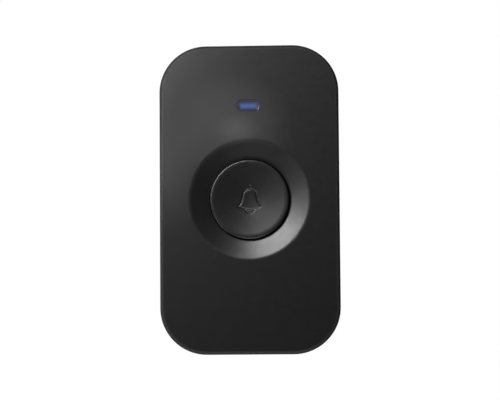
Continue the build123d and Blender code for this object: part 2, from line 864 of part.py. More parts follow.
with BuildPart() as lamp_dome:
    with BuildSketch(out(board_front + led_base_height)):
        with Locations((0, slot_z)):
            RectangleRounded(led_dome_length, led_dome_width, led_dome_corner)
    extrude(amount=led_dome_height)
    fillet(lamp_dome.faces().sort_by(Axis.Y)[0].edges(), led_dome_edge)
keep(lamp_dome, "lamp_dome")

# ---- Antenna: an air-wound coil of tinned wire that stands on its two ends
antenna_length = antenna_turns * antenna_pitch
antenna_axis_depth = board_front + antenna_radius + antenna_wire + antenna_lift
with BuildPart() as antenna_coil:
    with BuildLine() as antenna_path:
        Helix(
            antenna_pitch,
            antenna_length,
            antenna_radius,
            center=(antenna_x, -antenna_axis_depth, antenna_z),
            direction=(1, 0, 0),
        )
    with BuildSketch(Plane(antenna_path.line @ 0, z_dir=antenna_path.line % 0)):
        Circle(antenna_wire)
    sweep(path=antenna_path.line, is_frenet=True)
    # The wire's two straight legs, one from each end of the coil.
    with BuildSketch(out(board_front)):
        with Locations(
            (antenna_x, antenna_z + antenna_radius),
            (antenna_x + antenna_length, antenna_z - antenna_radius),
        ):
            Circle(antenna_leg)
    extrude(amount=antenna_axis_depth - board_front + antenna_wire / 2)
keep(antenna_coil, "antenna_coil")

# ---- Battery: steel can, plain plastic wrap, end washer and the raised terminal
with BuildPart() as battery_can:
    with BuildSketch(Plane.YZ.offset(battery_left)):
        with Locations((-battery_depth, battery_z)):
            Circle(battery_radius - battery_wrap)
    extrude(amount=battery_length - battery_nub_height)
    fillet(battery_can.edges().filter_by(GeomType.CIRCLE), battery_edge)
keep(battery_can, "battery_can")

with BuildPart() as battery_sleeve:
    with BuildSketch(Plane.YZ.offset(battery_left + battery_wrap_lip)):
        with Locations((-battery_depth, battery_z)):
            Circle(battery_radius)
            Circle(battery_radius - battery_wrap, mode=Mode.SUBTRACT)
    extrude(amount=battery_length - battery_nub_height - 2 * battery_wrap_lip)
keep(battery_sleeve, "battery_sleeve")

with BuildPart() as battery_washer:
    with BuildSketch(Plane.YZ.offset(battery_right - battery_nub_height)):
        with Locations((-battery_depth, battery_z)):
            Circle(washer_radius)
            Circle(battery_nub_radius, mode=Mode.SUBTRACT)
    extrude(amount=washer_thickness)
keep(battery_washer, "battery_washer")

with BuildPart() as battery_terminal:
    with BuildSketch(Plane.YZ.offset(battery_right - battery_nub_height)):
        with Locations((-battery_depth, battery_z)):
            Circle(battery_nub_radius)
    extrude(amount=battery_nub_height)
    fillet(battery_terminal.faces().sort_by(Axis.X)[-1].edges(), terminal_edge)
keep(battery_terminal, "battery_terminal")


def contact_plate(wall_face_x, side):
    """A tinned plate against its wall, with a tail and a foot soldered to the board."""
    tail_top = board_bottom_z + contact_foot + contact_tail / 2
    plate_top = battery_z + contact_size / 2
    with BuildPart() as plate:
        with BuildSketch(Plane.YZ.offset(wall_face_x)):
            with Locations((-floor_thickness, battery_z)):
                Rectangle(contact_wall_height, contact_size, align=(Align.MAX, Align.CENTER))
            with Locations((-board_front, plate_top)):
                Rectangle(contact_tail, tail_top - plate_top, align=(Align.MAX, Align.MIN))
        extrude(amount=side * contact_thickness)
        foot_side = Align.MIN if side > 0 else Align.MAX
        with BuildSketch(out(board_front)):
            with Locations((wall_face_x, tail_top)):
                Rectangle(contact_foot, contact_foot, align=(foot_side, Align.MAX))
        extrude(amount=contact_thickness)
    return plate


spring_plate = contact_plate(spring_plate_x - contact_thickness, 1)
keep(spring_plate, "spring_plate")
terminal_plate = contact_plate(battery_right + contact_thickness, -1)
keep(terminal_plate, "terminal_plate")

# ---- Battery spring: a tapering coil pressed between its plate and the can's flat end
with BuildPart() as battery_spring:
    with BuildLine() as spring_path:
        Helix(
            (spring_gap - 2 * spring_wire) / spring_turns,
            spring_gap - 2 * spring_wire,
            spring_base_radius,
            center=(spring_plate_x + spring_wire, -battery_depth, battery_z),
            direction=(1, 0, 0),
            cone_angle=-spring_cone,
        )
    with BuildSketch(Plane(spring_path.line @ 0, z_dir=spring_path.line % 0)):
        Circle(spring_wire)
    sweep(path=spring_path.line, is_frenet=True)
keep(battery_spring, "battery_spring")
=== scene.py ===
import math

import bpy
import numpy as np
from mathutils import Matrix, Vector


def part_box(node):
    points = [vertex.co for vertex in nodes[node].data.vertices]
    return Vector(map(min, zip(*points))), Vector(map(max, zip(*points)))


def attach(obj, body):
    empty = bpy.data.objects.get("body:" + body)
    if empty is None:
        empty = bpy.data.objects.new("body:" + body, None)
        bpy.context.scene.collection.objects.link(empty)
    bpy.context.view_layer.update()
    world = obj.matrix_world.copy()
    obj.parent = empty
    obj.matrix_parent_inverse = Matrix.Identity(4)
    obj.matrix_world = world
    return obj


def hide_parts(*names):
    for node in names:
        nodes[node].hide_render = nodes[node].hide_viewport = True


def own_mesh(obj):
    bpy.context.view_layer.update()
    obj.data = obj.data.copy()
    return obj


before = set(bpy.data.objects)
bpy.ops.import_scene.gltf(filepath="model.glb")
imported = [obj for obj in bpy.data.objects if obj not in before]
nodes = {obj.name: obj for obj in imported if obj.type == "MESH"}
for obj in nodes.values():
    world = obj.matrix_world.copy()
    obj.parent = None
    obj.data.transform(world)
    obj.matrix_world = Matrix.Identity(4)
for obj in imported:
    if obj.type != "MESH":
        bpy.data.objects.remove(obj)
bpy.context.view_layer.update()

scene = bpy.context.scene
scene.view_settings.view_transform = "Standard"
mm = 0.001


# ---- Viewpoint: a long lens a little below and to the right of the button, nearly square to it.
# The case stands upright as on its wall, and its face looks along -Y.
def toward(azimuth, elevation):
    """The direction from the case to a place round it: degrees to its right, and degrees up."""
    turn, rise = math.radians(azimuth), math.radians(elevation)
    flat = math.cos(rise)
    return Vector((flat * math.sin(turn), -flat * math.cos(turn), math.sin(rise)))


face_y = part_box("front_cover")[0].y
face_middle = Vector((0, face_y, 0))
aim = face_middle + Vector((0.18 * mm, 0, -0.28 * mm))
view_distance, view_right, view_below, view_roll = 489 * mm, 2.9, 4.1, 0.42
camera_data = bpy.data.cameras.new("camera")
camera_data.lens, camera_data.sensor_width, camera_data.clip_start = 127, 36, 0.01
camera = bpy.data.objects.new("camera", camera_data)
camera_place = face_middle + toward(view_right, -view_below) * view_distance
level = (aim - camera_place).to_track_quat("-Z", "Y").to_matrix().to_4x4()
rolled = Matrix.Rotation(-math.radians(view_roll), 4, "Z")
camera.matrix_world = Matrix.Translation(camera_place) @ level @ rolled
scene.collection.objects.link(camera)
scene.camera = camera


# ---- Lamps: soft square boxes that all face the middle of the case. The keys stand up and to the
# left, close by, so the face grades from light to dark across to the right.
def soft_lamp(name, direction, distance, side, power):
    """A softbox. Its direction is (azimuth, elevation), its distance and side are in metres."""
    place = distance * toward(*direction)
    lamp = bpy.data.lights.new(name, "AREA")
    lamp.size, lamp.energy = side, power
    lamp_object = bpy.data.objects.new(name, lamp)
    lamp_object.location = place
    lamp_object.rotation_euler = (-place).to_track_quat("-Z", "Y").to_euler()
    lamp_object.visible_camera = False
    scene.collection.objects.link(lamp_object)


soft_lamp("near_key", (-33, 25), 0.16, 0.05, 0.1)
soft_lamp("close_key", (-30, 26), 0.22, 0.06, 0.08)
soft_lamp("side_key", (-40, 10), 0.22, 0.06, 0.05)
soft_lamp("flat_key", (-30, 0), 0.3, 0.1, 0.018)
soft_lamp("middle_key", (-24, 30), 0.35, 0.08, 0.16)
soft_lamp("high_key", (-14, 37), 0.35, 0.08, 0.41)
soft_lamp("low_fill", (0, -60), 0.55, 0.3, 0.9)
soft_lamp("left_fill", (-60, -30), 0.9, 0.4, 1.3)
soft_lamp("under_fill", (0, -84), 0.6, 0.5, 1)
soft_lamp("edge_key", (-88, 25), 0.8, 0.3, 1.9)
soft_lamp("rear_fill", (170, 25), 0.7, 0.5, 5)


# ---- Surround: plain white all round where the lens looks, and a faint even light on the case.
# It takes the place of a studio's paper roll.
def add_node(tree, kind, inputs=(), **settings):
    """A node with its settings. Each input is a plain value or another node's output."""
    node = tree.nodes.new(kind)
    for name, value in settings.items():
        setattr(node, name, value)
    for socket, value in dict(inputs).items():
        if isinstance(value, bpy.types.NodeSocket):
            tree.links.new(value, node.inputs[socket])
        else:
            node.inputs[socket].default_value = value
    return node


seen_strength, lit_strength, plain_white = 1, 0.06, (1, 1, 1, 1)
surround = bpy.data.worlds.new("surround")
scene.world = surround
surround.use_nodes = True
sky = surround.node_tree
sky.nodes.clear()
seen, lit = (
    add_node(sky, "ShaderNodeBackground", {"Color": plain_white, "Strength": strength}).outputs[0]
    for strength in (seen_strength, lit_strength)
)
sky_rays = add_node(sky, "ShaderNodeLightPath").outputs
chosen = add_node(sky, "ShaderNodeMixShader", {"Fac": sky_rays["Is Camera Ray"], 1: lit, 2: seen})
add_node(sky, "ShaderNodeOutputWorld", {"Surface": chosen.outputs[0]})


# ---- Floor: a pale painted board well below the case. Like every finish here, its paint drifts a
# little in colour and gloss and carries a fine relief, laid out in the piece's own space.
def noise(tree, size, detail):
    """Noise in object space whose features are about size across."""
    place = add_node(tree, "ShaderNodeTexCoord").outputs["Object"]
    grain = {"Vector": place, "Scale": 1 / size, "Detail": detail}
    return add_node(tree, "ShaderNodeTexNoise", grain).outputs["Fac"]


def ramp(tree, value, start, end, low=0, high=1, **settings):
    """A value carried from start and end to low and high, and held there beyond them."""
    inputs = {"Value": value, "From Min": start, "From Max": end, "To Min": low, "To Max": high}
    return add_node(tree, "ShaderNodeMapRange", inputs, **settings).outputs["Result"]


def finish(name, colour, gloss, relief, metallic=0.0, shade=0.8, patch=5):
    """A material. gloss is its lowest and highest roughness, relief the size and depth of its
    grain, shade how dark its darker patches are, and patch how wide; lengths in millimetres."""
    noise_low, noise_high = 0.3, 0.7
    material = bpy.data.materials.new(name)
    material.use_nodes = True
    tree = material.node_tree
    tones = {"A": (*(shade * channel for channel in colour), 1), "B": (*colour, 1)}
    tones["Factor"] = noise(tree, patch * mm, 4)
    drift = add_node(tree, "ShaderNodeMix", tones, data_type="RGBA")
    roughness = ramp(tree, noise(tree, patch * mm / 3, 3), noise_low, noise_high, *gloss)
    grain_size, grain_depth = (length * mm for length in relief)
    grain = {"Height": noise(tree, grain_size, 2), "Distance": grain_depth}
    bump = add_node(tree, "ShaderNodeBump", grain)
    shader = tree.nodes["Principled BSDF"].inputs
    shader["Metallic"].default_value = metallic
    tree.links.new(drift.outputs["Result"], shader["Base Color"])
    tree.links.new(roughness, shader["Roughness"])
    tree.links.new(bump.outputs["Normal"], shader["Normal"])
    return material


floor_half, floor_z, square = 1.2, -0.6, ((-1, -1), (1, -1), (1, 1), (-1, 1))
floor_corners = [(x * floor_half, y * floor_half, floor_z) for x, y in square]
floor_mesh = bpy.data.meshes.new("floor")
floor_mesh.from_pydata(floor_corners, [], [(0, 1, 2, 3)])
floor = bpy.data.objects.new("floor", floor_mesh)
scene.collection.objects.link(floor)

# The lens sees the floor evenly pale from every side, and the lamps still light it for the case.
floor_white = finish("floor_paint", (0.85, 0.85, 0.84), (0.5, 0.6), (6, 0.1), shade=0.97, patch=200)
floor_tree = floor_white.node_tree
floor_shader = floor_tree.nodes["Principled BSDF"].inputs
floor_shader["Emission Color"].default_value = (0.8, 0.8, 0.79, 1)
floor_rays = add_node(floor_tree, "ShaderNodeLightPath").outputs
floor_tree.links.new(floor_rays["Is Camera Ray"], floor_shader["Emission Strength"])
floor.data.materials.append(floor_white)


# ---- Rear base: the half that stays on the wall, moulded in black ABS, with the battery's bay, the
# board's posts and the hooks for the cover. Screws or the foam pads on its back hold it.
def dress(material, *names):
    """Give solids their finish, and normals that follow their curves."""
    weld_reach, crease = 0.002 * mm, math.radians(30)
    for name in names:
        solid = nodes[name]
        solid.data.materials.clear()
        solid.data.materials.append(material)
        if "custom_normal" in solid.data.attributes:
            solid.data.attributes.remove(solid.data.attributes["custom_normal"])
        solid.data.polygons.foreach_set("use_smooth", [True] * len(solid.data.polygons))
        solid.modifiers.new("weld", "WELD").merge_threshold = weld_reach
        solid.modifiers.new("split", "EDGE_SPLIT").split_angle = crease
        solid.modifiers.new("normals", "WEIGHTED_NORMAL")


base_black = finish("base_abs", (0.016, 0.016, 0.017), (0.36, 0.46), (0.3, 0.006))
dress(base_black, "rear_base")


# ---- Foam pads: two strips of closed-cell mounting foam, die-cut and stuck to the base's back. The
# cut edges draw in a little, and the free face is a little crowned.
def outline(half_width, half_height, radius, steps=16):
    """A rounded rectangle, counter-clockwise from the front: (x, z, outward x, outward z)."""
    points = []
    for corner, (sx, sz) in enumerate(((1, 1), (-1, 1), (-1, -1), (1, -1))):
        middle_x, middle_z = sx * (half_width - radius), sz * (half_height - radius)
        for turn in np.linspace(90 * corner, 90 * corner + 90, steps + 1):
            nx, nz = math.cos(math.radians(turn)), math.sin(math.radians(turn))
            points.append((middle_x + radius * nx, middle_z + radius * nz, nx, nz))
    return points


def rings(loops, closed=False):
    """Points and faces of a skin through equal loops; closed joins the last to the first."""
    count = len(loops[0])
    points = [point for loop in loops for point in loop]
    faces = []
    for row in range(len(loops) if closed else len(loops) - 1):
        below, above = row * count, (row + 1) % len(loops) * count
        for i in range(count):
            j = (i + 1) % count
            faces.append((below + i, below + j, above + j, above + i))
    return points, faces


def capped(loops):
    """A skin through loops with a flat face on the first and the last, closed all round."""
    points, faces = rings(loops)
    count = len(loops[0])
    faces += [tuple(range(count))[::-1], tuple(range(len(points) - count, len(points)))]
    return points, faces


def smooth_mesh(name, points, faces, crease):
    """A mesh with smooth faces, sharp where they turn by more than the crease, in degrees."""
    mesh = bpy.data.meshes.new(name)
    mesh.from_pydata(points, [], faces)
    mesh.polygons.foreach_set("use_smooth", [True] * len(mesh.polygons))
    mesh.set_sharp_from_angle(angle=math.radians(crease))
    return mesh


def add_piece(name, points, faces, material, body, slot, *replaced):
    """A smooth piece that rides on a body, in place of the named solids."""
    mesh = smooth_mesh(name, points, faces, 40)
    mesh.materials.append(material)
    piece = bpy.data.objects.new(name, mesh)
    scene.collection.objects.link(piece)
    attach(piece, body)
    if replaced:
        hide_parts(*replaced)
    return piece


foam = finish("closed_cell_foam", (0.03, 0.03, 0.032), (0.8, 0.95), (0.35, 0.08))
pads_low, pads_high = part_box("foam_pads")
pad_x, pad_half_x = (pads_low.x + pads_high.x) / 2, (pads_high.x - pads_low.x) / 2
pad_half_z, pad_corner, pad_least_corner = 7 * mm, 1.5 * mm, 0.3 * mm
pad_depth = pads_high.y - pads_low.y
# How far the outline draws in, and at what depth, from the free face to the side that is stuck.
pad_steps = [
    (1.2 * mm, pads_high.y - 0.005 * mm),
    (0.4 * mm, pads_high.y - 0.02 * mm),
    (0.16 * mm, pads_high.y - 0.05 * mm),
    (0.06 * mm, pads_high.y - 0.12 * mm),
    (0.12 * mm, pads_low.y + 0.6 * pad_depth),
    (0.1 * mm, pads_low.y + 0.3 * pad_depth),
    (0, pads_low.y),
]
upper_z, lower_z = pads_high.z - pad_half_z, pads_low.z + pad_half_z
for name, pad_z in (("upper_pad", upper_z), ("lower_pad", lower_z)):
    pad_rows = []
    for inset, y in pad_steps:
        corner = max(pad_corner - inset, pad_least_corner)
        loop = outline(pad_half_x - inset, pad_half_z - inset, corner, 8)
        pad_rows.append([(pad_x + x, y, pad_z + z) for x, z, _, _ in loop])
    pad = add_piece(name, *capped(pad_rows), foam, "base", "foam", "foam_pads")


# ---- Case seal: a half-round silicone bead bonded to the base's edge, squeezed by the cover.
# It follows the case's outline all the way round.
silicone = finish("silicone", (0.14, 0.14, 0.15), (0.5, 0.62), (0.1, 0.003))
seal_low, seal_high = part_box("case_seal")
seal_y = (seal_low.y + seal_high.y) / 2
seal_inset, seal_half, seal_bulge, seal_corner = 0.45 * mm, 0.44 * mm, 0.29 * mm, 12 * mm
squareness = 0.6
seal_path = outline(seal_high.x - seal_inset, seal_high.z - seal_inset, seal_corner - seal_inset)
seal_section = []
for turn in np.linspace(2 * math.pi, 0, 16, endpoint=False):
    out = math.copysign(abs(math.cos(turn)) ** squareness, math.cos(turn))
    seal_section.append((seal_half * out, seal_bulge * math.sin(turn)))
seal_loops = [
    [(x + nx * out, seal_y + up, z + nz * out) for x, z, nx, nz in seal_path]
    for out, up in seal_section
]
add_piece("edge_seal", *rings(seal_loops, closed=True), silicone, "base", "silicone", "case_seal")


# ---- Circuit board: glass cloth under green solder mask, held on the base's posts by four screws.
# Its parts are a moulded chip and transistor, a resonator in a nickel can, a filter capacitor, chip
# resistors and capacitors, a blue lamp and a coil of tinned wire as the aerial, all soldered on.
board_green = finish("solder_mask", (0.012, 0.11, 0.04), (0.2, 0.32), (0.5, 0.008))
zinc = finish("zinc_plate", (0.55, 0.55, 0.56), (0.22, 0.38), (0.15, 0.003), metallic=1)
tin = finish("bright_tin", (0.7, 0.7, 0.68), (0.16, 0.3), (0.3, 0.006), metallic=1)
resin = finish("epoxy", (0.02, 0.02, 0.021), (0.45, 0.6), (0.12, 0.006))
nickel = finish("nickel_plate", (0.62, 0.59, 0.54), (0.14, 0.24), (0.5, 0.004), metallic=1)
inner_black = finish("inner_abs", (0.015, 0.015, 0.015), (0.3, 0.42), (0.8, 0.01))
aluminium = finish("aluminium", (0.72, 0.72, 0.73), (0.26, 0.38), (0.2, 0.004), metallic=1)
ceramic = finish("fired_ceramic", (0.36, 0.23, 0.12), (0.3, 0.4), (0.1, 0.003))
lamp_white = finish("lamp_white", (0.8, 0.8, 0.76), (0.35, 0.45), (0.2, 0.003), shade=0.95)
blue_clear = finish("blue_acrylic", (0.08, 0.12, 0.32), (0.1, 0.18), (0.9, 0.004), shade=0.9)
dress(board_green, "circuit_board")
dress(zinc, "board_screws")
dress(tin, "chip_legs", "transistor_legs", "capacitor_ends", "resistor_ends", "antenna_coil")
dress(resin, "encoder_chip", "radio_transistor", "chip_resistors")
dress(nickel, "resonator_can")
dress(inner_black, "filter_foot")
dress(aluminium, "filter_can")
dress(ceramic, "chip_capacitors")
dress(lamp_white, "lamp_base")
dress(blue_clear, "lamp_dome")
board_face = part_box("circuit_board")[0].y


# ---- Tracks: copper strips etched on the board's face, under the same green mask. They run with
# mitred corners between the leads. Every layer on the board sinks a little into the one below.
sunk, copper_thickness = 0.004 * mm, 0.02 * mm


def ribbon(route, width, thickness):
    """A flat strip with mitred corners along (x, z) points on the board's face."""
    top_share, least_mitre = 0.93, 0.5
    section = ((-1, -sunk), (-top_share, thickness), (top_share, thickness), (1, -sunk))
    corners = [Vector(corner) for corner in route]
    runs = [(end - start).normalized() for start, end in zip(corners, corners[1:])]
    rows = []
    for (x, z), before, after in zip(route, [runs[0], *runs], [*runs, runs[-1]]):
        across = Vector((-(before.y + after.y), before.x + after.x)).normalized()
        half = width / 2 / max(across.dot(Vector((-after.y, after.x))), least_mitre)
        rows.append(
            [
                (x + across.x * half * share, board_face - rise, z + across.y * half * share)
                for share, rise in section
            ]
        )
    return capped(rows[::-1])


def merged(parts):
    """Several (points, faces) pairs as one."""
    points, faces = [], []
    for more_points, more_faces in parts:
        start = len(points)
        points += more_points
        faces += [tuple(start + i for i in face) for face in more_faces]
    return points, faces


# Each track: its width and its corners, in millimetres on the board.
tracks = [
    (0.3, [(-13.41, -5.3), (-13.41, -3.6), (-16, -1), (-16, 1.2)]),
    (0.3, [(-12.14, -5.3), (-12.14, -1.6), (-13.4, -0.3), (-13.4, 1.2)]),
    (0.3, [(-10.87, -5.3), (-10.8, -4), (-10.8, 6.2)]),
    (0.3, [(-9.6, -5.3), (-9.6, 13.8), (-6.2, 17.3)]),
    (0.3, [(-8.33, -5.3), (-8.33, -1.2), (-4.9, 2.25), (-4.2, 2.25)]),
    (0.3, [(-7.06, -5.3), (-7.06, -4.3), (-5.1, -2.25), (-4.2, -2.25)]),
    (0.3, [(-5.79, -5.3), (-5.1, -4.6), (4.6, -4.6), (6.1, -3)]),
    (0.3, [(-13.41, -11.5), (-13.41, -14.8), (-15.2, -16.6)]),
    (0.3, [(-10.87, -11.5), (-10.87, -14.2)]),
    (0.3, [(-8.33, -11.5), (-8.33, -13), (-9.2, -14.2)]),
    (0.3, [(-5.79, -11.5), (-5.79, -12.4), (-4.4, -13.4), (-2.4, -13.4)]),
    (0.3, [(-16, 2.8), (-16, 6.2)]),
    (0.3, [(-13.4, 2.8), (-13.4, 6.2)]),
    (0.5, [(-16, 7.8), (-16, 18.6), (-14.6, 20), (-14.6, 27.2)]),
    (0.3, [(-13.4, 7.8), (-13.4, 12), (-7.2, 18.2), (-7.1, 22.3)]),
    (0.3, [(-10.8, 7.8), (-10.8, 10.4)]),
    (0.3, [(-1.8, 26.2), (-3.4, 26.2), (-5.6, 24), (-5.7, 22.5)]),
    (0.3, [(1.8, 26.2), (3.6, 26.2), (6.5, 23.3), (6.5, 19.8)]),
    (0.5, [(10.8, 7.8), (10.8, 10.4), (11.4, 11.6)]),
    (0.6, [(10.1, 12.2), (8.6, 13.7), (8, 15.4), (8, 30.6)]),
    (0.6, [(15.15, 30.6), (15.15, 20), (15.8, 19), (15.8, 6.8)]),
    (0.5, [(15.8, 5.2), (15.8, 1.8)]),
    (0.5, [(15.8, 0.2), (15.8, -1.8), (13.4, -4.4)]),
    (0.3, [(9.85, 5.2), (9.2, 4.8), (7.7, 6.4), (7.3, 7.5)]),
    (0.3, [(11.75, 5.2), (11.75, 2), (9, -0.8), (7.6, -2.2)]),
    (0.3, [(7.2, 9.2), (7.2, 14), (5.2, 16.2), (5.1, 19.4)]),
    (0.3, [(-4.7, 17.5), (-1.6, 17.5), (1.6, 20.6), (4.9, 20.6), (5.1, 19.8)]),
    (0.3, [(4.2, 2.25), (5.4, 2.25), (7.2, 4)]),
    (1.1, [(14.8, -17.2), (3.4, -17.2), (3.4, -13.4)]),
    (1.1, [(-14.8, -18), (-2, -18), (-2, -13.4)]),
]
track_strips = [
    ribbon([(x * mm, z * mm) for x, z in route], width * mm, copper_thickness)
    for width, route in tracks
]
masked_copper = finish("masked_copper", (0.03, 0.17, 0.07), (0.18, 0.3), (0.4, 0.006))
add_piece("board_tracks", *merged(track_strips), masked_copper, "base", "board_green")


# ---- Solder pads: a thin tinned copper plate on the board under every lead, left free of the mask.
# Each is a little larger than its lead all round.
def islands(node):
    """The box of each separate solid in a node, as (low, high) corners."""
    weld_reach = 0.002 * mm
    mesh = nodes[node].data
    owner, keys = {}, [tuple(round(c / weld_reach) for c in v.co) for v in mesh.vertices]

    def root(key):
        while owner.setdefault(key, key) != key:
            owner[key] = owner[owner[key]]
            key = owner[key]
        return key

    for polygon in mesh.polygons:
        first = root(keys[polygon.vertices[0]])
        for vertex in polygon.vertices[1:]:
            owner[root(keys[vertex])] = first
    groups = {}
    for vertex, key in zip(mesh.vertices, keys):
        groups.setdefault(root(key), []).append(vertex.co)
    return [
        tuple(Vector([end(c[axis] for c in group) for axis in range(3)]) for end in (min, max))
        for group in groups.values()
    ]


def pad_plate(low, high):
    """A thin rounded plate on the board's face under a lead's box."""
    margin, thickness, corner, edge, corner_share = 0.14 * mm, 0.03 * mm, 0.08 * mm, 0.012 * mm, 0.9
    half_x, half_z = (high.x - low.x) / 2 + margin, (high.z - low.z) / 2 + margin
    middle_x, middle_z = (low.x + high.x) / 2, (low.z + high.z) / 2
    shape = outline(half_x, half_z, min(corner, half_x * corner_share, half_z * corner_share), 3)
    loops = []
    for inset, y in ((0, sunk), (0, edge - thickness), (edge, -thickness)):
        scale_x, scale_z = (half_x - inset) / half_x, (half_z - inset) / half_z
        loop = [(middle_x + x * scale_x, middle_z + z * scale_z) for x, z, _, _ in shape]
        loops.append([(x, board_face + y, z) for x, z in loop])
    return capped(loops)


lead_nodes = ("chip_legs", "switch_pins", "transistor_legs", "capacitor_ends", "resistor_ends")
leads = [island for node in lead_nodes for island in islands(node)]
solder = finish("solder", (0.62, 0.62, 0.6), (0.2, 0.36), (0.25, 0.02), metallic=1)
plates = [pad_plate(*lead) for lead in leads]
add_piece("board_pads", *merged(plates), solder, "base", "tinned_steel")


# ---- Board marks: outlines of the parts and the battery's plus and minus, screen-printed on the
# mask in white ink. The outlines' corners are left open, as a stencil leaves them.
ink_thickness, ink_line, sign_line, corner_gap = 0.012 * mm, 0.13 * mm, 0.3 * mm, 0.22 * mm


def ink_box(low, high, margin_x, margin_z):
    """The four strokes round a part's box, at a margin from it."""
    low_x, high_x = low.x - margin_x, high.x + margin_x
    low_z, high_z = low.z - margin_z, high.z + margin_z
    sides = [
        [(low_x + corner_gap, low_z), (high_x - corner_gap, low_z)],
        [(high_x, low_z + corner_gap), (high_x, high_z - corner_gap)],
        [(high_x - corner_gap, high_z), (low_x + corner_gap, high_z)],
        [(low_x, high_z - corner_gap), (low_x, low_z + corner_gap)],
    ]
    return [ribbon(side, ink_line, ink_thickness) for side in sides]


ink = []
side_margin, end_margin = 0.55 * mm, 0.825 * mm
for node in ("chip_capacitors", "chip_resistors"):
    for low, high in islands(node):
        upright = high.z - low.z > high.x - low.x
        margins = (side_margin, end_margin) if upright else (end_margin, side_margin)
        ink += ink_box(low, high, *margins)
body_margins = (("encoder_chip", 0.25 * mm), ("filter_foot", 0.5 * mm), ("lamp_base", 0.5 * mm))
for node, margin in body_margins:
    ink += ink_box(*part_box(node), margin, margin)
plus_x, plus_z, minus_x, minus_z, arm = 11.6 * mm, -15.2 * mm, -11.7 * mm, -16.2 * mm, 0.9 * mm
plus_lift = 0.001 * mm
ink += [
    ribbon([(plus_x - arm, plus_z), (plus_x + arm, plus_z)], sign_line, ink_thickness),
    ribbon([(plus_x, plus_z - arm), (plus_x, plus_z + arm)], sign_line, ink_thickness + plus_lift),
    ribbon([(minus_x - arm, minus_z), (minus_x + arm, minus_z)], sign_line, ink_thickness),
]
white_ink = finish("white_ink", (0.68, 0.68, 0.64), (0.5, 0.65), (0.08, 0.006), shade=0.9)
add_piece("board_marks", *merged(ink), white_ink, "base", "board_green")


# ---- Solder joints and vias: solder drawn up in a drop at every lead, and tinned rings where a
# track goes through the board. One small turned shape of each is set down by Geometry Nodes at
# every place, a little different in size and turn.
def calculate(tree, operation, *values, kind="Math"):
    """The result of a Math or VectorMath node on plain values or other nodes' outputs."""
    node = add_node(tree, f"ShaderNode{kind}", enumerate(values), operation=operation)
    return node.outputs["Value" if kind == "Math" or operation == "LENGTH" else "Vector"]


def circle(radius, y, steps):
    """Points round the Y axis."""
    turns = np.linspace(0, 2 * math.pi, steps, endpoint=False)
    return [(radius * math.cos(turn), y, radius * math.sin(turn)) for turn in turns]


def lathe(profile, steps):
    """Points and faces of a closed (radius, y) profile turned about the Y axis."""
    return rings([circle(r, y, steps) for r, y in profile], closed=True)


set_down = bpy.data.node_groups.new("set_down", "GeometryNodeTree")
for label, kind in (
    ("Geometry", "Geometry"),
    ("Template", "Object"),
    ("Material", "Material"),
    ("Spread", "Float"),
    ("Seed", "Int"),
):
    set_down.interface.new_socket(label, in_out="INPUT", socket_type=f"NodeSocket{kind}")
set_down.interface.new_socket("Geometry", in_out="OUTPUT", socket_type="NodeSocketGeometry")
given = add_node(set_down, "NodeGroupInput").outputs
spots = add_node(set_down, "GeometryNodeMeshToPoints", {"Mesh": given["Geometry"]})
shape = add_node(set_down, "GeometryNodeObjectInfo", {"Object": given["Template"]})
reach = add_node(set_down, "GeometryNodeInputNamedAttribute", {"Name": "reach"}, data_type="FLOAT")
least = calculate(set_down, "SUBTRACT", 1, given["Spread"])
most = calculate(set_down, "ADD", 1, given["Spread"])
vary = add_node(set_down, "FunctionNodeRandomValue", {2: least, 3: most, "Seed": given["Seed"]})
full_turn = 6.283
turn = add_node(
    set_down,
    "FunctionNodeRandomValue",
    {"Min": (0, 0, 0), "Max": (0, full_turn, 0), "Seed": given["Seed"]},
    data_type="FLOAT_VECTOR",
)
copies = add_node(
    set_down,
    "GeometryNodeInstanceOnPoints",
    {
        "Points": spots.outputs["Points"],
        "Instance": shape.outputs["Geometry"],
        "Rotation": turn.outputs[0],
        "Scale": calculate(set_down, "MULTIPLY", vary.outputs[1], reach.outputs["Attribute"]),
    },
).outputs["Instances"]
plain = add_node(set_down, "GeometryNodeRealizeInstances", {"Geometry": copies}).outputs[0]
coat = {"Geometry": plain, "Material": given["Material"]}
coated = add_node(set_down, "GeometryNodeSetMaterial", coat).outputs["Geometry"]
add_node(set_down, "NodeGroupOutput", {"Geometry": coated})


def repeat(name, profile, spots, spread, seed=3):
    """A plain mesh of copies in solder of a turned profile, one at each (place, reach)."""
    template_name = f"{name}_template"
    template_mesh = smooth_mesh(template_name, *lathe(profile, 20), 60)
    template = bpy.data.objects.new(template_name, template_mesh)
    carrier_mesh = bpy.data.meshes.new(name)
    carrier_mesh.from_pydata([place for place, _ in spots], [], [])
    reach = carrier_mesh.attributes.new("reach", "FLOAT", "POINT")
    reach.data.foreach_set("value", [size for _, size in spots])
    carrier = bpy.data.objects.new(name, carrier_mesh)
    scene.collection.objects.link(carrier)
    maker = carrier.modifiers.new("set_down", "NODES")
    maker.node_group = set_down
    values = {"Template": template, "Material": solder, "Spread": spread, "Seed": seed}
    for item in set_down.interface.items_tree:
        if item.item_type == "SOCKET" and item.in_out == "INPUT" and item.name in values:
            maker[item.identifier] = values[item.name]
    bpy.context.view_layer.update()
    settled = carrier.evaluated_get(bpy.context.evaluated_depsgraph_get())
    finished = bpy.data.meshes.new_from_object(settled)
    carrier.modifiers.clear()
    carrier.data = finished
    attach(carrier, "base")


